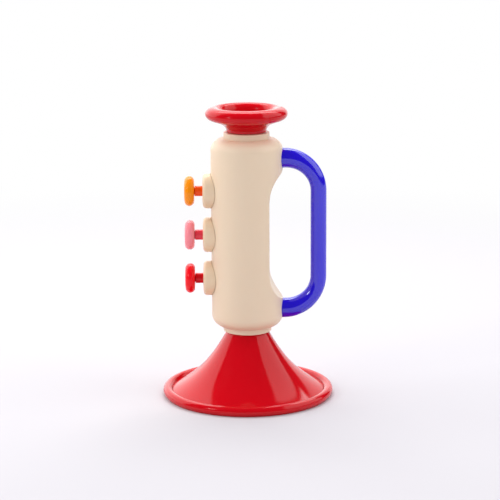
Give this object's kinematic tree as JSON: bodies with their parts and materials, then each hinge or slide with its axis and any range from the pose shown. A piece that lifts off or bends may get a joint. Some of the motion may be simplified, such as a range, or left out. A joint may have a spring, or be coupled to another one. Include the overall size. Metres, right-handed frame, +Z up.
{
  "type": "toy trumpet",
  "caption": "Toy trumpet that stands on its bell, with a looped handle, sprung buttons that open reed valves, and a broad mouthpiece.",
  "frame": {"origin": "centre of the bell's foot, on the trumpet's axis, level with the surface it stands on", "axes": "+Z up along the trumpet's axis towards the mouthpiece, +X towards the handle, -X towards the buttons, +Y towards the half that carries the screws"},
  "size_m": [0.1226, 0.1226, 0.209],
  "materials": {
    "body_plastic": "cream, satin, moulded",
    "guide_plastic": "warm cream, satin, moulded",
    "red_plastic": "deep red, high gloss",
    "blue_plastic": "violet blue, gloss",
    "orange_plastic": "orange, soft gloss",
    "pink_plastic": "pink, soft gloss",
    "scarlet_plastic": "scarlet, soft gloss",
    "vermilion_plastic": "orange red, soft gloss",
    "crimson_plastic": "crimson, soft gloss",
    "dark_red_plastic": "dark red, soft gloss",
    "chest_plastic": "grey, as moulded",
    "plate_steel": "zinc plated",
    "spring_steel": "drawn wire",
    "screw_steel": "zinc plated",
    "reed_brass": "rolled strip",
    "pallet_rubber": "soft, matte"
  },
  "bodies": {
    "root": {"front_shell": "body_plastic", "rear_shell": "body_plastic", "mouthpiece": "red_plastic", "bell": "red_plastic", "handle": "blue_plastic", "valve_guide_top": "guide_plastic", "valve_guide_middle": "guide_plastic", "valve_guide_bottom": "guide_plastic", "return_spring_top": "spring_steel", "return_spring_middle": "spring_steel", "return_spring_bottom": "spring_steel", "reed_cell_box": "chest_plastic", "reed_plate": "plate_steel", "reed_top": "reed_brass", "reed_middle": "reed_brass", "reed_bottom": "reed_brass", "reed_rivet_top": "reed_brass", "reed_rivet_middle": "reed_brass", "reed_rivet_bottom": "reed_brass", "wind_channel": "chest_plastic", "blow_tube": "chest_plastic", "chest_screw_1": "screw_steel", "chest_screw_2": "screw_steel", "chest_screw_3": "screw_steel", "chest_screw_4": "screw_steel", "shell_screw_1": "screw_steel", "shell_screw_2": "screw_steel", "shell_screw_3": "screw_steel", "shell_screw_4": "screw_steel", "shell_screw_5": "screw_steel", "shell_screw_6": "screw_steel"},
    "button_top": {"button_cap_top": "orange_plastic", "valve_stem_top": "vermilion_plastic", "valve_pallet_top": "pallet_rubber"},
    "button_middle": {"button_cap_middle": "pink_plastic", "valve_stem_middle": "crimson_plastic", "valve_pallet_middle": "pallet_rubber"},
    "button_bottom": {"button_cap_bottom": "scarlet_plastic", "valve_stem_bottom": "dark_red_plastic", "valve_pallet_bottom": "pallet_rubber"}
  },
  "joints": [
    {"name": "press_top", "type": "slide", "parent": "root", "child": "button_top", "axis": [1, 0, 0], "range_m": [0, 0.0045], "stiffness_N_per_m": 300, "springref_m": -0.003, "deforming": ["return_spring_top"]},
    {"name": "press_middle", "type": "slide", "parent": "root", "child": "button_middle", "axis": [1, 0, 0], "range_m": [0, 0.0045], "stiffness_N_per_m": 300, "springref_m": -0.003, "deforming": ["return_spring_middle"]},
    {"name": "press_bottom", "type": "slide", "parent": "root", "child": "button_bottom", "axis": [1, 0, 0], "range_m": [0, 0.0045], "stiffness_N_per_m": 300, "springref_m": -0.003, "deforming": ["return_spring_bottom"]}
  ]
}
